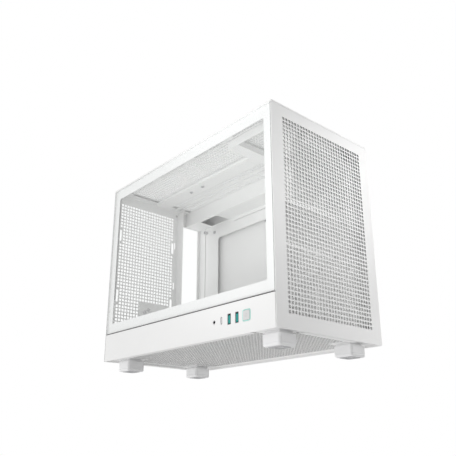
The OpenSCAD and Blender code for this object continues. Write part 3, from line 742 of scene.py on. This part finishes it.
FOLDED = (
    "front_inner_frame", "top_frame", "top_center_brace", "side_beam", "motherboard_tray",
    "psu_cradle", "psu_stop_plate", "slot_retainer", "button_switch", "ac_inlet_pins",
)
ROUND = {node: 0.2 for node in FOLDED}
ROUND.update({f"slot_cover_{i}": 0.15 for i in (1, 2, 3)})
ROUND.update({f"usb_a_shell_{i}": 0.06 for i in (1, 2)})
ROUND.update(ac_inlet=0.25, front_panel_frame=0.3, motherboard_standoffs=0.15)
for node, shown in frame["nodes"].items():
    shown.data.materials.clear()
    shown.data.materials.append(finish_of(node))
    if node in ROUND:
        shown.modifiers.new("weld", "WELD").merge_threshold = 1e-6
        flatten = shown.modifiers.new("flatten", "DECIMATE")
        flatten.decimate_type = "DISSOLVE"
        flatten.angle_limit = math.radians(1)
        bevel = shown.modifiers.new("edges", "BEVEL")
        bevel.width = ROUND[node] * MM
        bevel.segments = 2
        bevel.limit_method = "ANGLE"
        bevel.angle_limit = math.radians(40)

# ---- Floor, light and camera ----

scene = bpy.context.scene
scene.view_settings.view_transform = "Standard"

FLOOR = 6.0  # half the floor's width, in metres
floor_corners = [(FLOOR * a, FLOOR * b, 0) for a, b in ((-1, -1), (1, -1), (1, 1), (-1, 1))]
floor_mesh = bpy.data.meshes.new("studio_floor")
floor_mesh.from_pydata(floor_corners, [], [(0, 1, 2, 3)])
floor = bpy.data.objects.new("studio_floor", floor_mesh)
floor.location.z = cad_box[0].z
scene.collection.objects.link(floor)
floor.visible_shadow = False
floor.visible_diffuse = False
# The floor is one-sided, so that the low camera sees the tower's underside. Above, it neither shades
# nor lights the tower.
pale, principled = shader("pale_floor", (0.96, 0.96, 0.96), 0.9)
tree = pale.node_tree
clear = tree.nodes.new("ShaderNodeBsdfTransparent")
mix = tree.nodes.new("ShaderNodeMixShader")
facing = tree.nodes.new("ShaderNodeNewGeometry")
tree.links.new(facing.outputs["Backfacing"], mix.inputs["Fac"])
tree.links.new(principled.outputs["BSDF"], mix.inputs[1])
tree.links.new(clear.outputs["BSDF"], mix.inputs[2])
tree.links.new(mix.outputs["Shader"], tree.nodes["Material Output"].inputs["Surface"])
floor_mesh.materials.append(pale)


# Brightness of the light from all round, and how much it grows along each axis
LEVEL = 0.625
SLOPE = (-0.41, 0.445, -0.15)
# Seen through the glass, the studio darkens from one height of the direction to another
OVERHEAD = {"From Min": 0.39, "From Max": 0.48, "To Min": 1.0, "To Max": 0.62}
# Name, place, target, size, watts and, where it is narrower than a half turn, spread in degrees
LAMPS = (
    ("high_front_softbox", (0.75, -0.95, 0.85), (0.09, -0.18, 0.25), 0.5, 0.95),
    ("near_front_softbox", (0.42, -0.55, 0.42), (0.08, -0.18, 0.2), 0.3, 1.6),
    ("low_front_softbox", (0.8, -0.8, 0.05), (0.09, -0.18, 0.05), 0.4, 2.25),
    ("low_window_softbox", (-0.62, -0.28, -0.12), (-0.03, -0.08, 0.29), 0.25, 0.09, 35.0),
)


def studio_world():
    """Soft light from all round, brighter along one slope. The camera sees an even backdrop."""
    world = bpy.data.worlds.new("studio")
    world.use_nodes = True
    tree = world.node_tree
    tree.nodes.clear()
    new, link = tree.nodes.new, tree.links.new
    direction = new("ShaderNodeTexCoord")
    along = new("ShaderNodeVectorMath")
    along.operation = "DOT_PRODUCT"
    along.inputs[1].default_value = SLOPE
    link(direction.outputs["Generated"], along.inputs[0])
    total = new("ShaderNodeMath")
    total.operation = "ADD"
    total.inputs[1].default_value = LEVEL
    link(along.outputs["Value"], total.inputs[0])
    lighting = new("ShaderNodeBackground")
    link(total.outputs["Value"], lighting.inputs["Strength"])
    backdrop = new("ShaderNodeBackground")
    for background in (lighting, backdrop):
        background.inputs["Color"].default_value = (1, 1, 1, 1)
    path = new("ShaderNodeLightPath")
    direct = new("ShaderNodeMath")
    direct.operation = "MAXIMUM"
    link(path.outputs["Is Camera Ray"], direct.inputs[0])
    link(path.outputs["Is Transmission Ray"], direct.inputs[1])
    height = new("ShaderNodeSeparateXYZ")
    link(direction.outputs["Generated"], height.inputs["Vector"])
    overhead = new("ShaderNodeMapRange")
    overhead.interpolation_type = "SMOOTHSTEP"
    for socket, value in OVERHEAD.items():
        overhead.inputs[socket].default_value = value
    link(height.outputs["Z"], overhead.inputs["Value"])
    even = new("ShaderNodeMath")
    even.operation = "MAXIMUM"
    link(path.outputs["Is Camera Ray"], even.inputs[0])
    link(overhead.outputs["Result"], even.inputs[1])
    link(even.outputs["Value"], backdrop.inputs["Strength"])
    choose = new("ShaderNodeMixShader")
    link(direct.outputs["Value"], choose.inputs["Fac"])
    link(lighting.outputs["Background"], choose.inputs[1])
    link(backdrop.outputs["Background"], choose.inputs[2])
    output = new("ShaderNodeOutputWorld")
    link(choose.outputs["Shader"], output.inputs["Surface"])
    return world


scene.world = studio_world()


def softbox(name, place, target, size, watts, spread=180.0):
    """A square area light that faces the target."""
    light = bpy.data.lights.new(name, "AREA")
    light.spread = math.radians(spread)
    light.shape = "SQUARE"
    light.size = size
    light.energy = watts
    made = bpy.data.objects.new(name, light)
    made.location = place
    made.rotation_euler = (Vector(target) - Vector(place)).to_track_quat("-Z", "Y").to_euler()
    scene.collection.objects.link(made)


for lamp in LAMPS:
    softbox(*lamp)

# The camera is low, before the corner between the glass and the front, and looks up.
# Yaw is measured from the +Y axis.
YAW, PITCH = math.radians(41.13), math.radians(18.87)
camera_data = bpy.data.cameras.new("camera")
camera_data.sensor_width = 36.0
camera_data.lens = 45.79
camera_data.shift_y = 0.0395
camera_data.clip_start, camera_data.clip_end = 0.01, 50.0
camera = bpy.data.objects.new("camera", camera_data)
camera.location = (-0.5410, -0.6152, -0.1034)
looking = Vector((math.sin(YAW) * math.cos(PITCH), math.cos(YAW) * math.cos(PITCH), math.sin(PITCH)))
camera.rotation_euler = looking.to_track_quat("-Z", "Y").to_euler()
scene.collection.objects.link(camera)
scene.camera = camera
